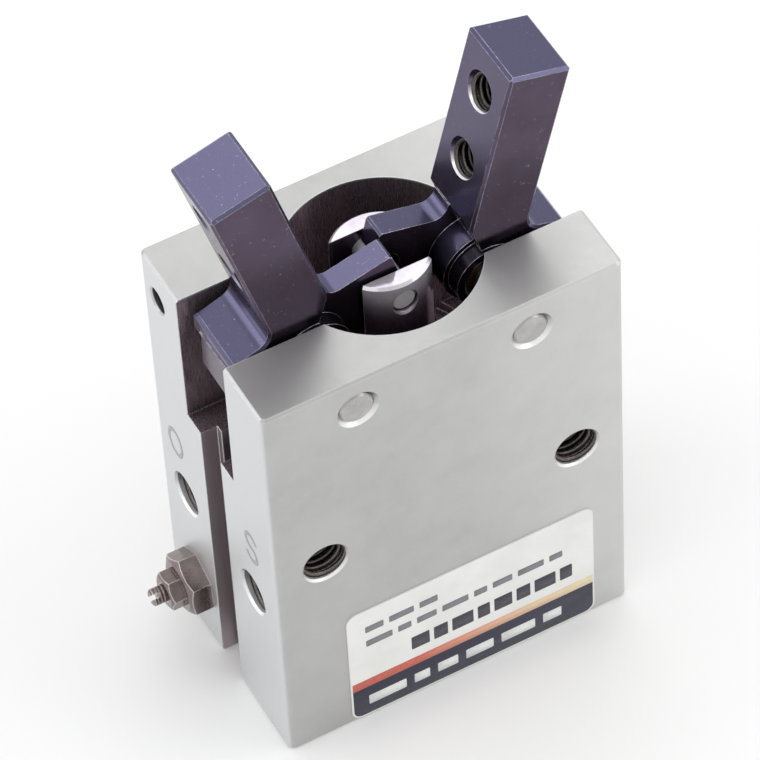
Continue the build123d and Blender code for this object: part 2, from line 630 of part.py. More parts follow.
def piston_rod():
    """Rod with its slotted head at the top and a tapped spigot at the bottom."""
    head = bar(ROD_HEAD_DIA, ROD_HEAD_BOTTOM_Z, ROD_HEAD_TOP_Z, "z")
    head = chamfer(head.edges().filter_by(GeomType.CIRCLE), ROD_HEAD_EDGE)
    rod = head + bar(ROD_DIA, PISTON_TOP_Z, ROD_HEAD_BOTTOM_Z, "z")
    rod += bar(SPIGOT_DIA, SPIGOT_SEAT_Z + SPIGOT_END_GAP, PISTON_TOP_Z, "z")
    rod -= rod_slot()
    radius = ROD_HEAD_DIA / 2
    pin_hole = bar(CENTER_PIN_DIA, -radius - CUTTER_OVERRUN, radius + CUTTER_OVERRUN, "y")
    pin_hole += rim(CENTER_PIN_DIA, PIN_HOLE_RIM_DIA, "y", -radius, 1)
    pin_hole += rim(CENTER_PIN_DIA, PIN_HOLE_RIM_DIA, "y", radius, -1)
    rod -= Pos(0, 0, CENTER_PIN_Z) * pin_hole
    groove_top = PISTON_TOP_Z - SPIGOT_GROOVE_DROP
    groove = (groove_top - SPIGOT_GROOVE_HEIGHT, groove_top)
    rod -= ring(SPIGOT_DIA + CUTTER_OVERRUN, SPIGOT_GROOVE_DIA, *groove)
    return rod - bar(M4_DIA, SPIGOT_SEAT_Z, SPIGOT_THREAD_TOP_Z, "z")


def spigot_o_ring():
    """O-ring between the rod spigot and the piston."""
    middle = PISTON_TOP_Z - SPIGOT_GROOVE_DROP - SPIGOT_GROOVE_HEIGHT / 2
    return torus(SPIGOT_RING_DIA, SPIGOT_RING_CORD, middle)


def piston_screw():
    """Socket head screw that clamps the piston to the rod."""
    seat = PISTON_BOTTOM_Z + SCREW_RECESS_DEPTH
    underside = seat - SCREW_HEAD_HEIGHT
    head = bar(SCREW_HEAD_DIA, underside, seat, "z")
    head = chamfer(head.edges().group_by(Axis.Z)[0], SCREW_HEAD_CHAMFER)
    screw = head + bar(M4_DIA, seat, SCREW_TIP_Z, "z")
    outline = Plane.XY * RegularPolygon(SCREW_SOCKET_RADIUS, 6, major_radius=False)
    return screw - Pos(0, 0, underside) * extrude(outline, SCREW_SOCKET_DEPTH)


def center_pin():
    """Cross pin in the rod head that works both levers."""
    pin = bar(CENTER_PIN_DIA, -CENTER_PIN_LENGTH / 2, CENTER_PIN_LENGTH / 2, "y")
    pin = chamfer(pin.edges().filter_by(GeomType.CIRCLE), CENTER_PIN_CHAMFER)
    return Pos(0, 0, CENTER_PIN_Z) * pin


def plate(points, y_range):
    """Flat plate in the finger's own plane; points are (outward, up) from the pivot."""
    face = Plane.XZ * make_face(Polyline(*points, close=True))
    thickness = y_range[1] - y_range[0]
    return Pos(0, y_range[1], 0) * extrude(face, thickness)


def finger_bar():
    """Upright bar with its outward shoulder and the slanted underside over the well."""
    half = FINGER_THICKNESS / 2
    tip = SHOULDER_REACH - SHOULDER_CORNER_RUN
    inner_z = SHOULDER_Z + SHOULDER_SLOPE_RISE
    outline = [(FINGER_INNER, FINGER_TOP), (FINGER_OUTER, FINGER_TOP), (FINGER_OUTER, inner_z)]
    outline += [(tip - SHOULDER_CORNER_RUN, SHOULDER_Z), (tip, SHOULDER_Z - SHOULDER_CORNER_DROP)]
    outline += [(SHOULDER_REACH, UNDERSIDE_Z), (UNDERSIDE_REACH, UNDERSIDE_Z)]
    outline += [(FINGER_INNER, INNER_CORNER_Z)]
    solid = plate(outline, (-half, half))
    corner = solid.edges().filter_by(Axis.Y).sort_by_distance((FINGER_OUTER, 0, inner_z))[0]
    solid = fillet(corner, SHOULDER_FILLET)
    solid = chamfer(solid.faces().sort_by(Axis.Z)[-1].edges(), FINGER_TOP_CHAMFER)
    uprights = [edge for edge in solid.edges().filter_by(Axis.Z) if edge.length > SHORTEST_UPRIGHT]
    return chamfer(uprights, FINGER_SIDE_CHAMFER)


def finger_web():
    """Thinner lower plate: outer toe and the metal round the pivot."""
    half = WEB_THICKNESS / 2
    outline = [(SHOULDER_REACH, UNDERSIDE_Z + WEB_ROOT_OVERLAP), (SHOULDER_REACH, UNDERSIDE_Z)]
    outline += [(TOE_REACH, TOE_Z), (TOE_REACH - TOE_CORNER_RUN, TOE_Z - TOE_CORNER_DROP)]
    outline += [(HEEL_REACH, -HEEL_REACH), (0, -HUB_RADIUS), (0, SHOULDER_Z)]
    return plate(outline, (-half, half)) + bar(2 * HUB_RADIUS, -half, half, "y")


def finger_arm():
    """Lever arm that reaches the centre, with the open slot for the cross pin."""
    reach = PIVOT_X + ARM_OVERREACH
    root = FINGER_INNER + ARM_ROOT_OVERLAP
    root_top = INNER_CORNER_Z - 2 * ARM_ROOT_OVERLAP
    outline = [(0, root_top), (root, root_top), (root, ARM_ABOVE), (-reach, ARM_ABOVE)]
    outline += [(-reach, ARM_TIP_CORNER - ARM_BELOW), (ARM_TIP_CORNER - reach, -ARM_BELOW)]
    outline += [(0, -ARM_BELOW)]
    arm = plate(outline, (ARM_INSIDE_Y, ARM_OUTSIDE_Y))
    corner = arm.edges().filter_by(Axis.Y).sort_by_distance((root, ARM_OUTSIDE_Y, ARM_ABOVE))[0]
    arm = fillet(corner, ARM_ROOT_FILLET)
    tip = arm.faces().sort_by(Axis.X)[0]
    arm = chamfer(tip.edges().sort_by(Axis.Z)[-1], ARM_TIP_CHAMFER)
    slot_half = CENTER_PIN_DIA / 2 + PIN_RUNNING_FIT
    slot_end = ARM_SLOT_OVERTRAVEL - PIVOT_X
    across = (-FINGER_THICKNESS / 2, FINGER_THICKNESS / 2)
    arm -= block((-reach - CUTTER_OVERRUN, slot_end), across, (-slot_half, slot_half))
    arm -= Pos(slot_end, 0, 0) * bar(2 * slot_half, *across, "y")
    return Rot(0, -(OPEN_TILT - ARM_OPEN_ANGLE), 0) * arm


def finger_upright():
    """One finger in its own frame: pivot at the origin, bar straight up, outward along +X."""
    solid = finger_bar() + finger_web() + finger_arm()
    hub_half = HUB_LENGTH / 2
    solid += bar(HUB_BOSS_DIA, -hub_half, hub_half, "y")
    solid -= bar(PIVOT_BUSH_DIA, -hub_half - CUTTER_OVERRUN, hub_half + CUTTER_OVERRUN, "y")
    for height in FINGER_HOLE_HEIGHTS:
        hole = bar(M4_DIA, FINGER_INNER - CUTTER_OVERRUN, FINGER_OUTER + CUTTER_OVERRUN, "x")
        hole += rim(M4_DIA, M4_RIM_DIA, "x", FINGER_INNER, 1)
        hole += rim(M4_DIA, M4_RIM_DIA, "x", FINGER_OUTER, -1)
        solid -= Pos(0, 0, height) * hole
    return solid


def seated(solid, side):
    """Tilts a finger piece to the open position and puts it on its pivot; the left one is turned round."""
    tilted = Rot(0, OPEN_TILT, 0) * solid
    placed = Pos(PIVOT_X, 0, PIVOT_Z) * tilted
    return placed if side > 0 else Rot(0, 0, 180) * placed


def finger_bush():
    """Bronze bush pressed into the finger."""
    half = HUB_LENGTH / 2
    return ring(PIVOT_BUSH_DIA, PIVOT_PIN_DIA + 2 * PIN_RUNNING_FIT, -half, half, "y")


def main():
    """Writes one STEP file for every piece."""
    os.makedirs("parts", exist_ok=True)
    pieces = {
        "body": body(),
        "end_cap": end_cap(),
        "cap_o_ring": cap_o_ring(),
        "retaining_ring": retaining_ring(),
        "lever_shaft_left": lever_shaft(-1),
        "lever_shaft_right": lever_shaft(1),
        "shaft_set_screws": shaft_set_screws(),
        "rod_bush": rod_bush(),
        "rod_seal": rod_seal(),
        "head_bumper": head_bumper(),
        "cap_bumper": cap_bumper(),
        "passage_plug": passage_plug(),
        "label": label(),
        "needle_valve_body": needle_valve_body(),
        "needle_body_o_ring": needle_body_o_ring(),
        "needle_lock_nut": needle_lock_nut(),
        "needle_screw": needle_screw(),
        "needle_o_ring": needle_o_ring(),
        "piston": piston(),
        "piston_seals": piston_seals(),
        "magnet_ring": magnet_ring(),
        "piston_rod": piston_rod(),
        "spigot_o_ring": spigot_o_ring(),
        "piston_screw": piston_screw(),
        "center_pin": center_pin(),
        "finger_left": seated(finger_upright(), -1),
        "finger_right": seated(finger_upright(), 1),
        "finger_bush_left": seated(finger_bush(), -1),
        "finger_bush_right": seated(finger_bush(), 1),
    }
    for name, shape in pieces.items():
        export_step(shape, f"parts/{name}.step")


main()
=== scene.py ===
import json
import math

import bmesh
import bpy
from mathutils import Matrix, Vector


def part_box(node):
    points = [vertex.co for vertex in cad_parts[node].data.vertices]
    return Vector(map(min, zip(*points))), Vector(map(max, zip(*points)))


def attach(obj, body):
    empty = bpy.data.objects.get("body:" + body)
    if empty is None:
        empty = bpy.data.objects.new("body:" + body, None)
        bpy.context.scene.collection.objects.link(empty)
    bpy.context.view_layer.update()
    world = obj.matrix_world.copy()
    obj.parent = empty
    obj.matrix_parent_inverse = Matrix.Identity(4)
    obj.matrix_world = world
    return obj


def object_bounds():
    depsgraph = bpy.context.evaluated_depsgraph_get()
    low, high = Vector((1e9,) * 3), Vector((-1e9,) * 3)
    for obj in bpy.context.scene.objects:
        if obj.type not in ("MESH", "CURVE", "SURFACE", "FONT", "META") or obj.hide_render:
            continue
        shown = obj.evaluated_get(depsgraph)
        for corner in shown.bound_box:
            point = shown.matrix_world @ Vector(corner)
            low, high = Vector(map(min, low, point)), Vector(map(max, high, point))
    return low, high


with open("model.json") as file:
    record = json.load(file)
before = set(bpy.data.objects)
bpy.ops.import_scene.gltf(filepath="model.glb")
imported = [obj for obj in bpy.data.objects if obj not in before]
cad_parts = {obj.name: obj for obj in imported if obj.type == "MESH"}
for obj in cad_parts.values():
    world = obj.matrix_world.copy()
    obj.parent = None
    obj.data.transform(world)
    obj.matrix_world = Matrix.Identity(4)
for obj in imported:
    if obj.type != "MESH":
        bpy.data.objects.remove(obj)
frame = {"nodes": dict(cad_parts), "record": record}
CAD_LOW, CAD_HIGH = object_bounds()
NODES = frame["nodes"]
MM = 0.001

BEVEL_SAMPLES = 6
HOLLOW_SAMPLES = 12
MOUTH_FADE = 1.08  # painted glint and shade of a rim end at its radius, gone at this many times the radius


# ---------------------------------------------------------------- node helpers
class Shader:
    """A material's node tree with short calls for the nodes used here."""

    def __init__(self, name):
        self.material = bpy.data.materials.new(name)
        self.material.use_nodes = True
        self.tree = self.material.node_tree
        self.tree.nodes.clear()
        self.output = self.tree.nodes.new("ShaderNodeOutputMaterial")
        self.surface = self.tree.nodes.new("ShaderNodeBsdfPrincipled")
        self.tree.links.new(self.surface.outputs["BSDF"], self.output.inputs["Surface"])
        coordinates = self.tree.nodes.new("ShaderNodeTexCoord")
        self.place = coordinates.outputs["Object"]
        self.normal = coordinates.outputs["Normal"]

    def link(self, source, target):
        """Connects a node's output, or sets a number or a colour, on an input."""
        if isinstance(source, (int, float)):
            target.default_value = source
        elif isinstance(source, (tuple, list)):
            target.default_value = tuple(source) + (1.0,) * (4 - len(source))
        else:
            self.tree.links.new(source, target)

    def set(self, **values):
        """Sets inputs of the surface; an underscore in a name stands for a space."""
        for key, value in values.items():
            self.link(value, self.surface.inputs[key.replace("_", " ")])

    def math(self, operation, a, b=0.0):
        node = self.tree.nodes.new("ShaderNodeMath")
        node.operation = operation
        self.link(a, node.inputs[0])
        self.link(b, node.inputs[1])
        return node.outputs[0]

    def nearer_than(self, coordinate, limit):
        """1 where a coordinate is closer to zero than the limit, 0 elsewhere."""
        return self.math("LESS_THAN", self.math("ABSOLUTE", coordinate), limit)

    def axes(self, vector=None):
        node = self.tree.nodes.new("ShaderNodeSeparateXYZ")
        self.link(vector or self.place, node.inputs[0])
        return node.outputs[0], node.outputs[1], node.outputs[2]

    def stretch(self, scale):
        node = self.tree.nodes.new("ShaderNodeMapping")
        self.link(self.place, node.inputs["Vector"])
        node.inputs["Scale"].default_value = scale
        return node.outputs[0]

    def noise(self, size_mm, detail=3.0, rough=0.5, vector=None):
        node = self.tree.nodes.new("ShaderNodeTexNoise")
        self.link(vector or self.place, node.inputs["Vector"])
        node.inputs["Scale"].default_value = 1.0 / (size_mm * MM)
        node.inputs["Detail"].default_value = detail
        node.inputs["Roughness"].default_value = rough
        return node.outputs["Fac"]

    def ramp(self, value, low, high, out_low=0.0, out_high=1.0):
        node = self.tree.nodes.new("ShaderNodeMapRange")
        node.clamp = True
        self.link(value, node.inputs["Value"])
        ends = {"From Min": low, "From Max": high, "To Min": out_low, "To Max": out_high}
        for name, number in ends.items():
            self.link(number, node.inputs[name])
        return node.outputs[0]

    def mix(self, amount, a, b):
        """Colour between a and b."""
        node = self.tree.nodes.new("ShaderNodeMix")
        node.data_type = "RGBA"
        self.link(amount, node.inputs[0])
        self.link(a, node.inputs[6])
        self.link(b, node.inputs[7])
        return node.outputs[2]

    def blend(self, amount, a, b):
        """Number between a and b."""
        node = self.tree.nodes.new("ShaderNodeMix")
        self.link(amount, node.inputs[0])
        self.link(a, node.inputs[2])
        self.link(b, node.inputs[3])
        return node.outputs[0]

    def rounded(self, radius_mm):
        """Normal of the surface as it would be with its edges rounded."""
        node = self.tree.nodes.new("ShaderNodeBevel")
        node.samples = BEVEL_SAMPLES
        node.inputs["Radius"].default_value = radius_mm * MM
        return node.outputs[0]

    def edge(self, radius_mm, low=0.02, high=0.25):
        """0 on flat faces, 1 on sharp edges."""
        plain = self.tree.nodes.new("ShaderNodeNewGeometry")
        dot = self.tree.nodes.new("ShaderNodeVectorMath")
        dot.operation = "DOT_PRODUCT"
        self.link(self.rounded(radius_mm), dot.inputs[0])
        self.link(plain.outputs["Normal"], dot.inputs[1])
        turned = self.math("SUBTRACT", 1.0, dot.outputs["Value"])
        return self.ramp(turned, low, high)

    def hollow(self, reach_mm, low, high, own=True):
        """0 in the open, 1 deep in holes and narrow gaps; own looks at the same piece only."""
        node = self.tree.nodes.new("ShaderNodeAmbientOcclusion")
        node.samples = HOLLOW_SAMPLES
        node.only_local = own
        node.inputs["Distance"].default_value = reach_mm * MM
        closed = self.math("SUBTRACT", 1.0, node.outputs["AO"])
        return self.ramp(closed, low, high)

    def facing(self, axis, low, high):
        """0 to 1 as the normal's share along X, Y or Z of the piece's own frame goes from low to high."""
        return self.ramp(self.axes(self.normal)["XYZ".index(axis)], low, high)

    def mouths(self, points, radius_mm):
        """1 within a radius of the given hole mouths, 0 elsewhere."""
        near = 0.0
        for point in points:
            node = self.tree.nodes.new("ShaderNodeVectorMath")
            node.operation = "DISTANCE"
            self.link(self.place, node.inputs[0])
            node.inputs[1].default_value = tuple(point)
            gone = radius_mm * MOUTH_FADE * MM
            within = self.ramp(node.outputs["Value"], radius_mm * MM, gone, 1.0, 0.0)
            near = self.math("MAXIMUM", near, within)
        return near

    def bump(self, height, depth_mm, strength, rounding_mm=0.0):
        """Fine relief on the surface, over edges that look rounded when a rounding is given."""
        node = self.tree.nodes.new("ShaderNodeBump")
        node.inputs["Strength"].default_value = strength
        node.inputs["Distance"].default_value = depth_mm * MM
        self.link(height, node.inputs["Height"])
        if rounding_mm:
            self.link(self.rounded(rounding_mm), node.inputs["Normal"])
        self.link(node.outputs[0], self.surface.inputs["Normal"])
        return self


# ---------------------------------------------------------------- places where the looks change
# The block's cuts. Each limit lies just past the cut's wall, so that the wall itself is inside it, and
# the top lies just under the block's top face, so that the face is outside.
WELL_RADIUS = 10.78 * MM
WELL_FLOOR = 36.35 * MM
SLOT_HALF = 5.28 * MM
SLOT_FLOOR = 37.65 * MM
CUT_TOP = 55.75 * MM
GROOVE_HALF = 2.35 * MM
# The block along X: its end with painted shade, its end with painted light, where that light starts,
# its left face, which gets painted light, and how far into the sensor grooves their own look starts.
PAINTED_SHADE_END, PAINTED_LIGHT_END = -20 * MM, 21 * MM
PAINTED_LIGHT_FROM = 2 * MM
PAINTED_LIGHT_LEFT_FACE = (-20.4 * MM, -20.8 * MM)
GROOVE_MOUTH = (20.95 * MM, 20.85 * MM)
# The fingers: sides of an arm, and heights and distance from the middle at which painted shade falls on them.
ARM_SIDE = (2.6 * MM, 3.2 * MM)
ARM_SHADE = (55.5 * MM, 52 * MM)
HUB_SHADE = (57.6 * MM, 56.6 * MM)
WELL_SHADE = (11.5 * MM, 10.5 * MM)
# How far from the centre of its mouth the rim of a hole, with its painted glint and shade, reaches.
BODY_RIM_MM = 2.8
FINGER_RIM_MM = 2.34


# ---------------------------------------------------------------- materials
def anodised(mouths):
    """Satin clear-anodised aluminium, darker where bored and milled; painted glint and shade at hole rims."""
    s = Shader("anodised_block")
    x, y, z = s.axes()
    # Mask of the left face, which gets painted light below.
    side = s.math("MULTIPLY", s.facing("X", -0.6, -0.95), s.ramp(x, *PAINTED_LIGHT_LEFT_FACE))
    in_groove = s.math("MULTIPLY", s.nearer_than(y, GROOVE_HALF), s.math("LESS_THAN", z, SLOT_FLOOR))
    in_groove = s.math("MULTIPLY", in_groove, s.ramp(s.math("ABSOLUTE", x), *GROOVE_MOUTH))
    cloud = s.noise(9.0, 2.0, 0.6)
    grain = s.noise(0.22, 2.0, 0.7)
    mottling = s.noise(1.6, 3.0, 0.6)
    lines = s.noise(0.16, 1.0, 0.5, s.stretch((1.0, 1.0, 0.08)))
    radius = s.math("POWER", s.math("ADD", s.math("MULTIPLY", x, x), s.math("MULTIPLY", y, y)), 0.5)
    in_well = s.math("LESS_THAN", radius, WELL_RADIUS)
    in_well = s.math("MULTIPLY", in_well, s.math("GREATER_THAN", z, WELL_FLOOR))
    in_slot = s.math("MULTIPLY", s.nearer_than(y, SLOT_HALF), s.math("GREATER_THAN", z, SLOT_FLOOR))
    cut = s.math("MULTIPLY", s.math("MAXIMUM", in_well, in_slot), s.math("LESS_THAN", z, CUT_TOP))
    # Mask of painted shade in holes and narrow gaps.
    deep = s.hollow(4.0, 0.2, 0.66)
    wear_and_edge_highlight = s.edge(0.34, 0.03, 0.2)
    tint = s.mix(s.ramp(cloud, 0.35, 0.7), (0.50, 0.50, 0.49), (0.56, 0.56, 0.55))
    tint = s.mix(s.ramp(mottling, 0.3, 0.75, 0.0, 0.35), tint, (0.60, 0.60, 0.60))
    # Painted shade towards the block's left end and painted light towards its right end.
    tint = s.mix(s.ramp(x, PAINTED_SHADE_END, PAINTED_LIGHT_END, 0.22, 0.0), tint, (0.36, 0.36, 0.37))
    tint = s.mix(s.ramp(x, PAINTED_LIGHT_FROM, PAINTED_LIGHT_END, 0.0, 0.35), tint, (0.78, 0.78, 0.77))
    # Painted light: the left face is made lighter in colour.
    tint = s.mix(side, tint, (0.67, 0.68, 0.69))
    tint = s.mix(in_groove, tint, (0.45, 0.395, 0.41))
    milled = s.mix(s.ramp(lines, 0.3, 0.7), (0.34, 0.265, 0.295), (0.44, 0.35, 0.385))
    tint = s.mix(cut, tint, milled)
    # Painted shade: darker in holes and narrow gaps.
    tint = s.mix(s.math("MULTIPLY", deep, 0.9), tint, (0.045, 0.022, 0.030))
    # Hole mouths: painted shade on rims facing down, painted glint on rims facing up, less edge light there.
    painted_rim_zone = s.mouths(mouths, BODY_RIM_MM)
    tint = s.mix(s.math("MULTIPLY", painted_rim_zone, s.facing("Z", -0.1, -0.6)), tint, (0.10, 0.08, 0.085))
    wear_and_edge_highlight = s.math("MULTIPLY", wear_and_edge_highlight, s.math("SUBTRACT", 0.8, s.math("MULTIPLY", painted_rim_zone, 0.7)))
    # Edges lighter, partly from wear and partly as painted highlight.
    tint = s.mix(wear_and_edge_highlight, tint, (0.93, 0.93, 0.94))
    tint = s.mix(s.math("MULTIPLY", painted_rim_zone, s.facing("Z", 0.1, 0.6)), tint, (0.97, 0.97, 0.97))
    rough = s.blend(cut, s.ramp(grain, 0.3, 0.7, 0.36, 0.46), s.ramp(lines, 0.3, 0.7, 0.24, 0.32))
    s.set(Base_Color=tint, Metallic=0.82, Roughness=rough)
    fine = s.math("MULTIPLY", s.math("MULTIPLY", lines, cut), 0.3)
    height = s.math("ADD", s.math("MULTIPLY", grain, s.math("SUBTRACT", 1.0, cut)), fine)
    return s.bump(height, 0.012, 0.35, 0.15).material


def black_oxide(mouths):
    """Blackened steel of the fingers: violet-black skin, painted light bluer on top, edges worn and painted
    bright.
    """
    s = Shader("black_oxide_steel")
    cloud = s.noise(6.0, 3.0, 0.6)
    grain = s.noise(0.18, 2.0, 0.7)
    specks = s.noise(0.42, 4.0, 0.75)
    lines = s.noise(0.25, 2.0, 0.6, s.stretch((1.0, 1.0, 0.06)))
    wear_and_edge_highlight = s.edge(0.17, 0.02, 0.15)
    x, y, z = s.axes()
    # Masks of painted shade on the arms and hubs low in the well.
    from_middle = s.math("MAXIMUM", s.math("ABSOLUTE", x), s.math("ABSOLUTE", y))
    off_arm = s.ramp(s.math("ABSOLUTE", y), *ARM_SIDE)
    low_hub = s.math("MULTIPLY", off_arm, s.ramp(z, *HUB_SHADE))
    low = s.math("MAXIMUM", s.ramp(z, *ARM_SHADE), low_hub)
    painted_shade_in_well = s.math("MULTIPLY", low, s.ramp(from_middle, *WELL_SHADE))
    breakup = s.ramp(s.noise(1.1, 3.0, 0.7), 0.36, 0.62, 0.15, 1.0)
    tint = s.mix(s.ramp(cloud, 0.3, 0.7), (0.070, 0.046, 0.074), (0.088, 0.066, 0.104))
    # Painted light: faces turned up are made bluer and lighter.
    tint = s.mix(s.facing("Z", 0.1, 0.45), tint, (0.124, 0.118, 0.205))
    tint = s.mix(s.ramp(specks, 0.65, 0.69, 0.0, 0.75), tint, (0.50, 0.48, 0.56))
    # Painted shade: darker in holes, near other parts and low in the well.
    deep = s.math("MAXIMUM", s.hollow(3.0, 0.2, 0.85), s.hollow(8.0, 0.5, 0.74, own=False))
    deep = s.math("MAXIMUM", deep, painted_shade_in_well)
    tint = s.mix(s.math("MULTIPLY", deep, 0.9), tint, (0.012, 0.008, 0.011))
    # Edges lighter, partly from wear and partly as painted highlight.
    tint = s.mix(s.math("MULTIPLY", wear_and_edge_highlight, breakup), tint, (0.80, 0.76, 0.86))
    # Hole mouths: painted shade on rims facing down, painted glint on rims facing up.
    painted_rim_zone = s.mouths(mouths, FINGER_RIM_MM)
    tint = s.mix(s.math("MULTIPLY", painted_rim_zone, s.facing("Z", 0.2, -0.1)), tint, (0.03, 0.02, 0.03))
    tint = s.mix(s.math("MULTIPLY", painted_rim_zone, s.facing("Z", 0.4, 0.8)), tint, (0.97, 0.96, 0.98))
    rough = s.ramp(grain, 0.3, 0.7, 0.17, 0.27)
    s.set(Base_Color=tint, Metallic=0.8, Roughness=rough)
    return s.bump(s.math("ADD", grain, lines), 0.006, 0.3, 0.12).material


def steel(name, colour, rough, line_axis, depth=0.006, dark=0.75, metal=1.0):
    """Turned or ground metal with fine lines round one axis: 0, 1 or 2 for X, Y or Z."""
    s = Shader(name)
    scale = [0.05, 0.05, 0.05]
    scale[line_axis] = 1.0
    lines = s.noise(0.12, 3.0, 0.6, s.stretch(scale))
    cloud = s.noise(2.5, 3.0, 0.6)
    darker = tuple(c * dark for c in colour)
    mean = s.math("MULTIPLY", s.math("ADD", lines, cloud), 0.5)
    tint = s.mix(s.ramp(mean, 0.35, 0.62), darker, colour)
    tint = s.mix(s.edge(0.12), tint, tuple(min(1.0, c * 1.2 + 0.08) for c in colour))
    s.set(Base_Color=tint, Metallic=metal, Roughness=s.ramp(lines, 0.3, 0.7, rough * 0.8, rough * 1.35))
    return s.bump(lines, depth, 0.4, 0.08).material


def polished_steel():
    """Ground and polished rod: bright in the open, violet-grey and dim low in the bore from painted shade."""
    s = Shader("polished_rod_steel")
    lines = s.noise(0.10, 2.0, 0.5, s.stretch((0.05, 0.05, 1.0)))
    cloud = s.noise(2.0, 3.0, 0.6)
    tint = s.mix(s.ramp(cloud, 0.35, 0.65), (0.62, 0.58, 0.66), (0.76, 0.73, 0.78))
    # Painted shade low in the bore, among the parts round the rod.
    tint = s.mix(s.hollow(9.0, 0.47, 0.76, own=False), tint, (0.05, 0.028, 0.05))
    # Painted highlight along the edges.
    tint = s.mix(s.edge(0.14), tint, (0.97, 0.96, 0.98))
    s.set(Base_Color=tint, Metallic=0.55, Roughness=s.ramp(lines, 0.3, 0.7, 0.10, 0.17))
    return s.bump(lines, 0.003, 0.3, 0.1).material


def cut_thread():
    """Bare tapped metal: bright at the mouth of a hole, dark further in from painted shade."""
    s = Shader("tapped_metal")
    grain = s.noise(0.2, 3.0, 0.6)
    tint = s.mix(s.ramp(grain, 0.35, 0.65), (0.10, 0.085, 0.080), (0.20, 0.175, 0.165))
    # Painted shade further into the hole.
    tint = s.mix(s.hollow(3.0, 0.3, 0.52, own=False), tint, (0.018, 0.012, 0.011))
    # Burrs on the crests, partly lit up as painted glint.
    burr_and_glint = s.math("MULTIPLY", s.edge(0.05), s.ramp(grain, 0.5, 0.62, 0.0, 0.35))
    tint = s.mix(burr_and_glint, tint, (0.60, 0.50, 0.42))
    s.set(Base_Color=tint, Metallic=0.75, Roughness=s.ramp(grain, 0.3, 0.7, 0.25, 0.4))
    return s.bump(grain, 0.01, 0.4).material


def nickel(name, colour, pitch_mm=0.0, centre=(0.0, 0.0)):
    """Nickel-plated brass; with a pitch, the thread of a screw lying along X is added."""
    s = Shader(name)
    cloud = s.noise(1.4, 3.0, 0.6)
    grain = s.noise(0.12, 3.0, 0.6)
    stain = s.noise(0.7, 4.0, 0.7)
    tint = s.mix(s.ramp(cloud, 0.35, 0.65), tuple(c * 0.78 for c in colour), colour)
    tint = s.mix(s.ramp(stain, 0.56, 0.7, 0.0, 0.5), tint, (0.10, 0.075, 0.07))
    # Painted highlight along the edges.
    tint = s.mix(s.edge(0.22, 0.02, 0.16), tint, (0.97, 0.94, 0.93))
    height = s.math("MULTIPLY", grain, 0.2)
    if pitch_mm:
        x, y, z = s.axes()
        angle = s.math("ARCTAN2", s.math("SUBTRACT", z, centre[1]), s.math("SUBTRACT", y, centre[0]))
        turn = s.math("ADD", s.math("DIVIDE", x, pitch_mm * MM), s.math("DIVIDE", angle, 2 * math.pi))
        crest = s.math("PINGPONG", turn, 0.5)
        height = s.math("ADD", height, s.math("MULTIPLY", crest, 8.0))
        # Painted shade in the grooves of the thread.
        tint = s.mix(s.ramp(crest, 0.05, 0.3, 0.75, 0.0), tint, (0.10, 0.08, 0.07))
    s.set(Base_Color=tint, Metallic=1.0, Roughness=s.ramp(grain, 0.3, 0.7, 0.18, 0.32))
    return s.bump(height, 0.03, 0.5, 0.08).material


def bronze():
    """Sintered bronze with open pores, with painted shade where it sits among other parts."""
    s = Shader("sintered_bronze")
    pores = s.noise(0.2, 4.0, 0.7)
    tint = s.mix(s.ramp(pores, 0.4, 0.62), (0.20, 0.12, 0.05), (0.56, 0.36, 0.17))
    # Painted shade where other parts close round it.
    tint = s.mix(s.hollow(4.0, 0.35, 0.7, own=False), tint, (0.02, 0.012, 0.008))
    s.set(Base_Color=tint, Metallic=1.0, Roughness=s.ramp(pores, 0.3, 0.7, 0.5, 0.32))
    return s.bump(pores, 0.02, 0.5).material


def rubber(name, colour):
    """Moulded rubber with a dull skin."""
    s = Shader(name)
    skin = s.noise(0.25, 4.0, 0.7)
    dust = s.noise(1.5, 3.0, 0.6)
    tint = s.mix(s.ramp(dust, 0.4, 0.7, 0.0, 0.6), colour, tuple(c * 2.2 + 0.01 for c in colour))
    s.set(Base_Color=tint, Metallic=0.0, Roughness=s.ramp(skin, 0.3, 0.7, 0.5, 0.75))
    return s.bump(skin, 0.015, 0.5).material


def sticker_film():
    """White printed film, slightly yellowed and rubbed at its edges."""
    s = Shader("sticker_film")
    cloud = s.noise(5.0, 3.0, 0.6)
    grain = s.noise(0.3, 3.0, 0.6)
    tint = s.mix(s.ramp(cloud, 0.35, 0.7), (0.80, 0.80, 0.78), (0.87, 0.87, 0.85))
    tint = s.mix(s.edge(0.2), tint, (0.62, 0.62, 0.60))
    s.set(Base_Color=tint, Metallic=0.0, Roughness=s.ramp(grain, 0.3, 0.7, 0.38, 0.5))
    return s.bump(grain, 0.004, 0.4).material


def print_ink(name, colour, other=None, span=None):
    """Printed ink; with a second colour it fades from one to the other along X."""
    s = Shader(name)
    grain = s.noise(0.2, 3.0, 0.6)
    base = colour
    thin = tuple(c * 1.6 + 0.02 for c in colour)
    if other:
        base = s.mix(s.ramp(s.axes()[0], *span), colour, other)
        thin = (0.5, 0.5, 0.5)
    tint = s.mix(s.ramp(grain, 0.35, 0.7, 0.0, 0.3), base, thin)
    s.set(Base_Color=tint, Metallic=0.0, Roughness=s.ramp(grain, 0.3, 0.7, 0.32, 0.48))
    return s.bump(grain, 0.004, 0.4).material


def floor_paint():
    """Plain pale floor with a trace of unevenness."""
    s = Shader("studio_floor")
    cloud = s.noise(160.0, 2.0, 0.5)
    s.set(Base_Color=s.mix(cloud, (0.97, 0.97, 0.97), (0.99, 0.99, 0.99)), Metallic=0.0, Roughness=0.7)
    return s.material


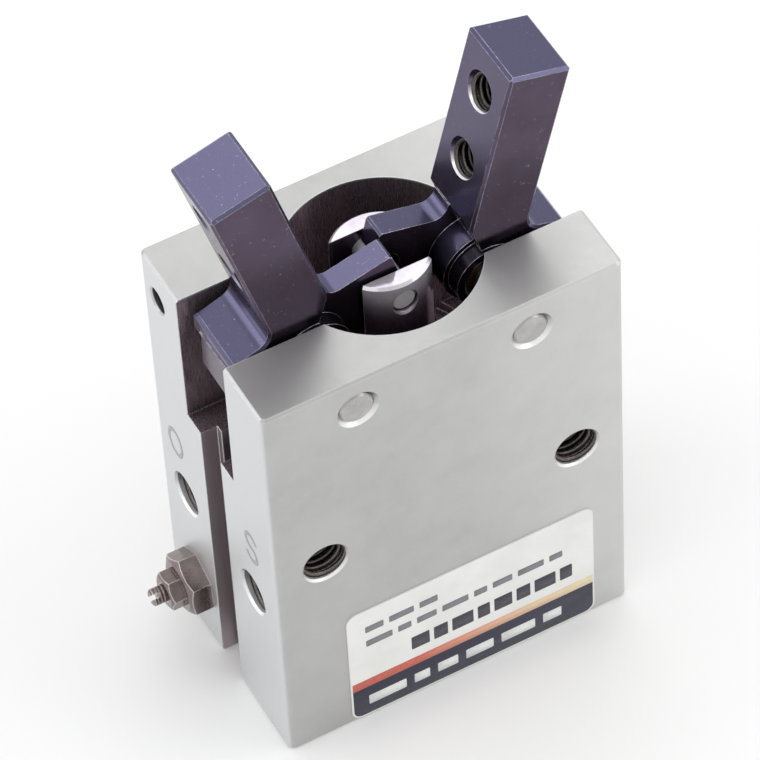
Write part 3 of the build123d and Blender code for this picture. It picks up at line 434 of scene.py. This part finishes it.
# ---------------------------------------------------------------- mesh helpers
# The ridge of an inside thread. Sizes named _MM are in millimetres, the others are shares of the pitch.
STEPS_PER_TURN = 28
RUN_OUT_STEPS = 14
RUN_OUT_HEIGHT = 0.05
RIDGE_HEIGHT = 0.54
RIDGE_FOOT_HALF = 0.44
RIDGE_TIP_HALF = 0.06
WALL_OVERLAP_MM = 0.02
START_BELOW_MOUTH_MM = 0.5
FREE_AT_BOTTOM_MM = 0.3


def add_piece(name, mesh_builder, material, body):
    """Makes an object from a bmesh-filling function and hangs it on a CAD body."""
    bm = bmesh.new()
    mesh_builder(bm)
    bmesh.ops.recalc_face_normals(bm, faces=bm.faces)
    mesh = bpy.data.meshes.new(name)
    bm.to_mesh(mesh)
    bm.free()
    for polygon in mesh.polygons:
        polygon.use_smooth = True
    mesh.materials.append(material)
    piece = bpy.data.objects.new(name, mesh)
    bpy.context.scene.collection.objects.link(piece)
    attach(piece, body)


def thread_coil(bm, mouth, inward, outer_mm, pitch_mm, length_mm):
    """Helical crest of an inside thread: a closed ridge wound along the wall of a hole."""
    along = inward.normalized()
    side = along.orthogonal().normalized()
    across = along.cross(side)
    root = (outer_mm / 2 + WALL_OVERLAP_MM) * MM
    crest = (outer_mm / 2 - RIDGE_HEIGHT * pitch_mm) * MM
    turns = (length_mm - START_BELOW_MOUTH_MM - FREE_AT_BOTTOM_MM) / pitch_mm
    steps = int(turns * STEPS_PER_TURN)
    rings = []
    for i in range(steps + 1):
        angle = 2 * math.pi * i / STEPS_PER_TURN
        fade = min(1.0, i / RUN_OUT_STEPS, (steps - i) / RUN_OUT_STEPS)
        tip = root + (crest - root) * max(fade, RUN_OUT_HEIGHT)
        depth = (START_BELOW_MOUTH_MM + pitch_mm * i / STEPS_PER_TURN) * MM
        outward = side * math.cos(angle) + across * math.sin(angle)
        section = (
            (root, -RIDGE_FOOT_HALF), (tip, -RIDGE_TIP_HALF), (tip, RIDGE_TIP_HALF), (root, RIDGE_FOOT_HALF)
        )
        ring = []
        for r, shift in section:
            ring.append(bm.verts.new(mouth + outward * r + along * (depth + shift * pitch_mm * MM)))
        rings.append(ring)
    for a, b in zip(rings, rings[1:]):
        for k in range(4):
            bm.faces.new((a[k], a[(k + 1) % 4], b[(k + 1) % 4], b[k]))
    bm.faces.new(rings[0])
    bm.faces.new(rings[-1])


def plate_outline(bm, points, y_front, thickness):
    """Thin plate in an XZ plane from its outline."""
    front = [bm.verts.new((x, y_front, z)) for x, z in points]
    back = [bm.verts.new((x, y_front + thickness, z)) for x, z in points]
    bm.faces.new(front)
    bm.faces.new(list(reversed(back)))
    for k in range(len(points)):
        n = (k + 1) % len(points)
        bm.faces.new((front[k], back[k], back[n], front[n]))


def rounded_box(x0, x1, z0, z1, radii, steps=6):
    """Outline of a rectangle with its own radius at each corner, from bottom left, anticlockwise."""
    corners = ((x0, z0, 180), (x1, z0, 270), (x1, z1, 0), (x0, z1, 90))
    inward = ((1, 1), (-1, 1), (-1, -1), (1, -1))
    points = []
    for (x, z, first), (sx, sz), r in zip(corners, inward, radii):
        if r <= 0:
            points.append((x, z))
            continue
        for i in range(steps + 1):
            a = math.radians(first + 90 * i / steps)
            points.append((x + sx * r + r * math.cos(a), z + sz * r + r * math.sin(a)))
    return points


# ---------------------------------------------------------------- mouths of the tapped holes
MOUNTS = {m["name"]: m for m in frame["record"]["mounts"]}
BODY_LOW, BODY_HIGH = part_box("body")
HANDS = ("left", "right")
PORTS = ["open_port", "shut_port"]
FACE_HOLES = [f"{face}_thread_{hand}" for face in ("front", "back") for hand in HANDS]
FINGER_HOLES = [f"{hand}_finger_{level}_thread" for hand in HANDS for level in ("lower", "upper")]
FINGER_COUNTERSINK_MM = 0.3  # from the end of a finger hole's stated wall to the face


def mouth_of(name):
    """Mouth of a tapped hole and the way in, from the mount's point, axis and stated wall length."""
    mount = MOUNTS[name]
    out = Vector(mount["axis"]).normalized()
    here = Vector(mount["pos_m"])
    if name in FINGER_HOLES:
        return here + out * (mount["dims"]["length_mm"] / 2 + FINGER_COUNTERSINK_MM) * MM, -out
    long_axis = max(range(3), key=lambda k: abs(out[k]))
    face = BODY_HIGH[long_axis] if out[long_axis] > 0 else BODY_LOW[long_axis]
    return here + out * abs(face - here[long_axis]), -out


def far_mouth_of(name):
    """Other mouth of a tapped hole that goes right through."""
    return 2 * Vector(MOUNTS[name]["pos_m"]) - mouth_of(name)[0]


BODY_MOUTHS = [mouth_of(name)[0] for name in FACE_HOLES + PORTS]
for hand in HANDS:
    end_low, end_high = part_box(f"lever_shaft_{hand}")
    shaft_x, shaft_z = (end_low.x + end_high.x) / 2, (end_low.z + end_high.z) / 2
    BODY_MOUTHS += [Vector((shaft_x, y, shaft_z)) for y in (BODY_LOW.y, BODY_HIGH.y)]
FINGER_MOUTHS = [mouth_of(name)[0] for name in FINGER_HOLES]
FINGER_MOUTHS += [far_mouth_of(name) for name in FINGER_HOLES]

# ---------------------------------------------------------------- the look of each CAD node
BODY_LOOK = anodised(BODY_MOUTHS)
FINGER_LOOK = black_oxide(FINGER_MOUTHS)
PIN_LOOK = steel("ground_pin_steel", (0.50, 0.49, 0.48), 0.28, 1)
# Pale, half-metallic steel that makes the pin's end bright: a painted glint.
CROSS_PIN_LOOK = steel("bright_pin_steel", (0.90, 0.88, 0.92), 0.12, 1, depth=0.004, dark=0.85, metal=0.35)
ROD_LOOK = polished_steel()
THREAD_LOOK = cut_thread()
SCREW_LOOK = steel("blackened_screw_steel", (0.10, 0.10, 0.11), 0.35, 0)
SPRING_LOOK = steel("phosphated_spring_steel", (0.20, 0.19, 0.18), 0.45, 2)
CAP_LOOK = steel("turned_cap_alloy", (0.60, 0.60, 0.59), 0.34, 2)
PISTON_LOOK = steel("turned_piston_alloy", (0.58, 0.58, 0.56), 0.3, 2)
BRONZE_LOOK = bronze()
SEAL_LOOK = rubber("nitrile_rubber", (0.02, 0.02, 0.021))
BUMPER_LOOK = rubber("urethane_rubber", (0.05, 0.045, 0.04))
MAGNET_LOOK = rubber("bonded_magnet", (0.045, 0.045, 0.05))
PLUG_LOOK = steel("plug_steel", (0.5, 0.5, 0.5), 0.3, 2)
HEX_LOOK = nickel("nickel_plated_hexagon", (0.27, 0.218, 0.212))
NEEDLE_LOW, NEEDLE_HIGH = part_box("needle_screw")
NEEDLE_CENTRE = ((NEEDLE_LOW.y + NEEDLE_HIGH.y) / 2, (NEEDLE_LOW.z + NEEDLE_HIGH.z) / 2)
NEEDLE_LOOK = nickel("nickel_plated_screw", (0.34, 0.28, 0.27), pitch_mm=0.4, centre=NEEDLE_CENTRE)
LABEL_LOOK = sticker_film()

LOOKS = {
    "body": BODY_LOOK, "end_cap": CAP_LOOK, "cap_o_ring": SEAL_LOOK, "retaining_ring": SPRING_LOOK,
    "lever_shaft_left": PIN_LOOK, "lever_shaft_right": PIN_LOOK, "shaft_set_screws": SCREW_LOOK,
    "rod_bush": BRONZE_LOOK, "rod_seal": SEAL_LOOK, "head_bumper": BUMPER_LOOK, "cap_bumper": BUMPER_LOOK,
    "passage_plug": PLUG_LOOK, "label": LABEL_LOOK, "needle_valve_body": HEX_LOOK,
    "needle_body_o_ring": SEAL_LOOK, "needle_lock_nut": HEX_LOOK, "needle_screw": NEEDLE_LOOK,
    "needle_o_ring": SEAL_LOOK,
    "piston": PISTON_LOOK, "piston_seals": SEAL_LOOK, "magnet_ring": MAGNET_LOOK, "piston_rod": ROD_LOOK,
    "spigot_o_ring": SEAL_LOOK, "piston_screw": SCREW_LOOK, "center_pin": CROSS_PIN_LOOK,
    "finger_left": FINGER_LOOK, "finger_right": FINGER_LOOK,
    "finger_bush_left": BRONZE_LOOK, "finger_bush_right": BRONZE_LOOK,
}
for node_name, look in LOOKS.items():
    node_mesh = NODES[node_name].data
    node_mesh.materials.clear()
    node_mesh.materials.append(look)


# ---------------------------------------------------------------- threads in the tapped holes
# Sizes named _MM are in millimetres, as are the pitches.
M3_BORE_MM = 3.0
M3_PITCH, M4_PITCH, M5_PITCH = 0.5, 0.7, 0.8
PORT_THREAD_MM = 4.6
FACE_THREAD_MM = 8.0
FINGER_THREAD_MM = 7.15
BASE_THREAD_MM = 9.0
LOCK_THREAD_OVERLAP_MM = 0.5  # how far a lock screw's thread runs on beside the screw
BASE_HOLE_X, BASE_HOLE_Y = 15.3 * MM, 8.8 * MM


def add_thread(name, mouth, inward, bore_mm, pitch_mm, length_mm, body="housing", slot="body_anodised"):
    """Thread in one tapped hole, by default a hole of the block."""
    def build(bm):
        thread_coil(bm, mouth, inward, bore_mm, pitch_mm, length_mm)
    add_piece(name, build, THREAD_LOOK, body)


def bore_of(name):
    """Bore of a tapped hole in millimetres."""
    return 2 * MOUNTS[name]["dims"]["r_mm"]


for name in PORTS:
    add_thread(f"thread_{name}", *mouth_of(name), bore_of(name), M5_PITCH, PORT_THREAD_MM)
for name in FACE_HOLES:
    add_thread(f"thread_{name}", *mouth_of(name), bore_of(name), M5_PITCH, FACE_THREAD_MM)
for name in FINGER_HOLES:
    finger = name[:name.index("_finger")] + "_finger"
    size = (bore_of(name), M4_PITCH, FINGER_THREAD_MM)
    add_thread(f"thread_{name}", *mouth_of(name), *size, finger, "finger_steel")
base_bore = 2 * MOUNTS["base_threads"]["dims"]["hole_r_mm"]
for hand, sign in (("left", -1), ("right", 1)):
    base_mouth = Vector((sign * BASE_HOLE_X, sign * BASE_HOLE_Y, BODY_LOW.z))
    add_thread(f"thread_base_{hand}", base_mouth, Vector((0, 0, 1)), base_bore, M5_PITCH, BASE_THREAD_MM)
screws_low, screws_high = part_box("shaft_set_screws")
lock_y, lock_z = (screws_low.y + screws_high.y) / 2, (screws_low.z + screws_high.z) / 2
lock_length = (screws_low.x - BODY_LOW.x) / MM + LOCK_THREAD_OVERLAP_MM
for hand, face_x, inward_x in (("left", BODY_LOW.x, 1), ("right", BODY_HIGH.x, -1)):
    lock_mouth = Vector((face_x, lock_y, lock_z))
    add_thread(f"thread_lock_{hand}", lock_mouth, Vector((inward_x, 0, 0)), M3_BORE_MM, M3_PITCH, lock_length)

# ---------------------------------------------------------------- printed matter
label_low, label_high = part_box("label")
INK_STEP = 0.02 * MM
INSET = 0.22 * MM
LABEL_CORNER = 1.08 * MM
BAR_CORNER_MM = 0.12
BAND_TOP = label_low.z + 4.9 * MM
STRIPE_TOP = BAND_TOP + 1.3 * MM
NAVY = print_ink("ink_navy", (0.030, 0.030, 0.055))
STRIPE_SPAN = (label_low.x + 8 * MM, label_high.x - 1 * MM)
STRIPE = print_ink("ink_stripe", (0.68, 0.09, 0.04), (0.93, 0.80, 0.50), STRIPE_SPAN)
TITLE_INK = print_ink("ink_title", (0.045, 0.045, 0.06))
GREY_INK = print_ink("ink_grey", (0.20, 0.20, 0.22))
PALE_INK = print_ink("ink_pale", (0.75, 0.75, 0.74))
MARK_INK = print_ink("ink_mark", (0.33, 0.34, 0.37))
FACE_Y = label_low.y - INK_STEP


def printed(name, z_low, z_high, radii, ink):
    """One printed area that runs across the sticker."""
    def build(bm):
        outline = rounded_box(label_low.x + INSET, label_high.x - INSET, z_low, z_high, radii)
        plate_outline(bm, outline, FACE_Y, INK_STEP)
    add_piece(name, build, ink, "housing")


printed("label_band", label_low.z + INSET, BAND_TOP, (LABEL_CORNER, LABEL_CORNER, 0, 0), NAVY)
printed("label_stripe", BAND_TOP, STRIPE_TOP, (0, 0, 0, 0), STRIPE)


def bar_row(name, ink, x_from, x_to, z_mid, height, widths, gap, lift=0.0):
    """Short bars that stand in for a line of print, in millimetres from the sticker's corner.

    The widths are taken in turn. The lift, in metres, raises the bars above an area printed before.
    """
    def build(bm):
        x, k = x_from, 0
        while x + widths[k % len(widths)] <= x_to:
            width = widths[k % len(widths)]
            corners = (BAR_CORNER_MM,) * 4
            outline = rounded_box(x, x + width, z_mid - height / 2, z_mid + height / 2, corners, 3)
            placed = [(label_low.x + px * MM, label_low.z + pz * MM) for px, pz in outline]
            plate_outline(bm, placed, FACE_Y - lift, INK_STEP + lift)
            x += width + gap
            k += 1
    add_piece(name, build, ink, "housing")


# The numbers are the left and right ends, the height of the middle, the bars' height, widths and gap.
bar_row("label_print_band", PALE_INK, 2.1, 28.9, 2.5, 1.5, (4.6, 1.9, 2.5, 3.4, 4.2, 2.3), 1.0, lift=INK_STEP)
bar_row("label_print_title", TITLE_INK, 7.6, 27.8, 8.8, 2.1, (2.2, 1.7, 2.6, 1.5), 0.55)
bar_row("label_print_line_a", GREY_INK, 2.2, 27.6, 12.4, 1.0, (3.2, 1.6, 2.4), 0.7)
bar_row("label_print_line_b", GREY_INK, 2.2, 13.4, 14.8, 1.0, (2.2, 3.0), 0.7)


# The marks above the ports: stroke, then each mark's place from its port along Y and Z, and its size.
MARK_STROKE = 0.55 * MM
OPEN_MARK_PLACE, OPEN_MARK_SIZE = (1.4 * MM, 7.4 * MM), (2.9 * MM, 3.7 * MM)
SHUT_MARK_PLACE, ARC_SIZE, ARC_RISE = (-0.6 * MM, 8.3 * MM), (2.3 * MM, 2.05 * MM), 1.02 * MM


def ring_mark(bm, centre_y, centre_z, size, start=0, stop=360, steps=40):
    """Flat elliptical stroke on the left face, all the way round or between two angles in degrees."""
    width, height = size
    closed = stop - start >= 360
    rows = []
    for i in range(steps + (0 if closed else 1)):
        a = math.radians(start + (stop - start) * i / steps)
        row = []
        for r in (-MARK_STROKE / 2, MARK_STROKE / 2):
            y = centre_y - (width / 2 + r) * math.cos(a)
            z = centre_z + (height / 2 + r) * math.sin(a)
            row += [bm.verts.new((x, y, z)) for x in (BODY_LOW.x - INK_STEP, BODY_LOW.x + INK_STEP)]
        rows.append(row)
    pairs = zip(rows, rows[1:] + rows[:1]) if closed else zip(rows, rows[1:])
    for a, b in pairs:
        bm.faces.new((a[0], a[2], b[2], b[0]))
        bm.faces.new((a[1], b[1], b[3], a[3]))
        bm.faces.new((a[0], b[0], b[1], a[1]))
        bm.faces.new((a[2], a[3], b[3], b[2]))


def mark_place(port, shift):
    """Y and Z of a mark's centre."""
    here = MOUNTS[port]["pos_m"]
    return here[1] + shift[0], here[2] + shift[1]


def open_sign(bm):
    """One closed ring."""
    ring_mark(bm, *mark_place("open_port", OPEN_MARK_PLACE), OPEN_MARK_SIZE)


def shut_sign(bm):
    """Two open arcs, one above the other."""
    y, z = mark_place("shut_port", SHUT_MARK_PLACE)
    ring_mark(bm, y, z + ARC_RISE, ARC_SIZE, start=20, stop=270, steps=20)
    ring_mark(bm, y, z - ARC_RISE, ARC_SIZE, start=-160, stop=90, steps=20)


add_piece("mark_open_port", open_sign, MARK_INK, "housing")
add_piece("mark_shut_port", shut_sign, MARK_INK, "housing")


# ---------------------------------------------------------------- floor, light and camera
# Metres, degrees and watts.
FLOOR_HALF = 3.0
LIGHTS_AIM = Vector((0.0, 0.0, 0.04))
SURROUNDINGS = 0.8


def add_floor():
    """Large plain floor under the part."""
    mesh = bpy.data.meshes.new("floor")
    corners = [(x * FLOOR_HALF, y * FLOOR_HALF, 0) for x, y in ((-1, -1), (1, -1), (1, 1), (-1, 1))]
    mesh.from_pydata(corners, [], [(0, 1, 2, 3)])
    mesh.materials.append(floor_paint())
    floor = bpy.data.objects.new("floor", mesh)
    floor.location.z = CAD_LOW.z
    bpy.context.scene.collection.objects.link(floor)


def direction(azimuth, elevation):
    """Unit vector from the part; azimuth 0 is its front face and 90 its right face."""
    a, e = math.radians(azimuth), math.radians(elevation)
    return Vector((math.sin(a) * math.cos(e), -math.cos(a) * math.cos(e), math.sin(e)))


def add_softbox(name, azimuth, elevation, distance, size, power):
    """Large rectangular light that looks at the part."""
    lamp = bpy.data.lights.new(name, "AREA")
    lamp.shape = "RECTANGLE"
    lamp.size, lamp.size_y = size
    lamp.energy = power
    box = bpy.data.objects.new(name, lamp)
    back = direction(azimuth, elevation)
    box.location = LIGHTS_AIM + back * distance
    box.rotation_euler = (-back).to_track_quat("-Z", "Y").to_euler()
    bpy.context.scene.collection.objects.link(box)


def add_world(strength):
    """Even pale surroundings."""
    world = bpy.data.worlds.new("studio")
    world.use_nodes = True
    background = world.node_tree.nodes["Background"]
    background.inputs["Color"].default_value = (1.0, 1.0, 1.0, 1.0)
    background.inputs["Strength"].default_value = strength
    bpy.context.scene.world = world


def add_camera(azimuth, elevation, roll, distance, target, lens):
    """Camera given by the direction it stands in, its roll and its distance from the target; lens in mm."""
    data = bpy.data.cameras.new("camera")
    data.lens = lens
    data.sensor_width = 36.0
    data.clip_start, data.clip_end = 0.01, 20.0
    camera = bpy.data.objects.new("camera", data)
    r = math.radians(roll)
    back = direction(azimuth, elevation)
    level = (-back).cross(Vector((0, 0, 1))).normalized()
    up = level.cross(-back)
    right = level * math.cos(r) + up * math.sin(r)
    turned = Matrix((right, back.cross(right), back)).transposed()
    camera.rotation_mode = "QUATERNION"
    camera.rotation_quaternion = turned.to_quaternion()
    camera.location = Vector(target) + back * distance
    bpy.context.scene.collection.objects.link(camera)
    bpy.context.scene.camera = camera


add_floor()
add_world(SURROUNDINGS)
add_softbox("key", azimuth=-60, elevation=55, distance=0.9, size=(0.6, 0.6), power=0.6)
add_softbox("fill", azimuth=60, elevation=35, distance=1.0, size=(0.7, 0.7), power=1.7)
add_softbox("top_back", azimuth=165, elevation=60, distance=0.9, size=(0.7, 0.5), power=1.1)
add_softbox("left_back", azimuth=-115, elevation=22, distance=1.0, size=(0.6, 0.6), power=1.5)
add_camera(
    azimuth=-25.956, elevation=50.388, roll=-3.668, distance=0.580,
    target=(-0.00211, -0.00244, 0.03973), lens=263.06,
)

bpy.context.scene.view_settings.view_transform = "Standard"
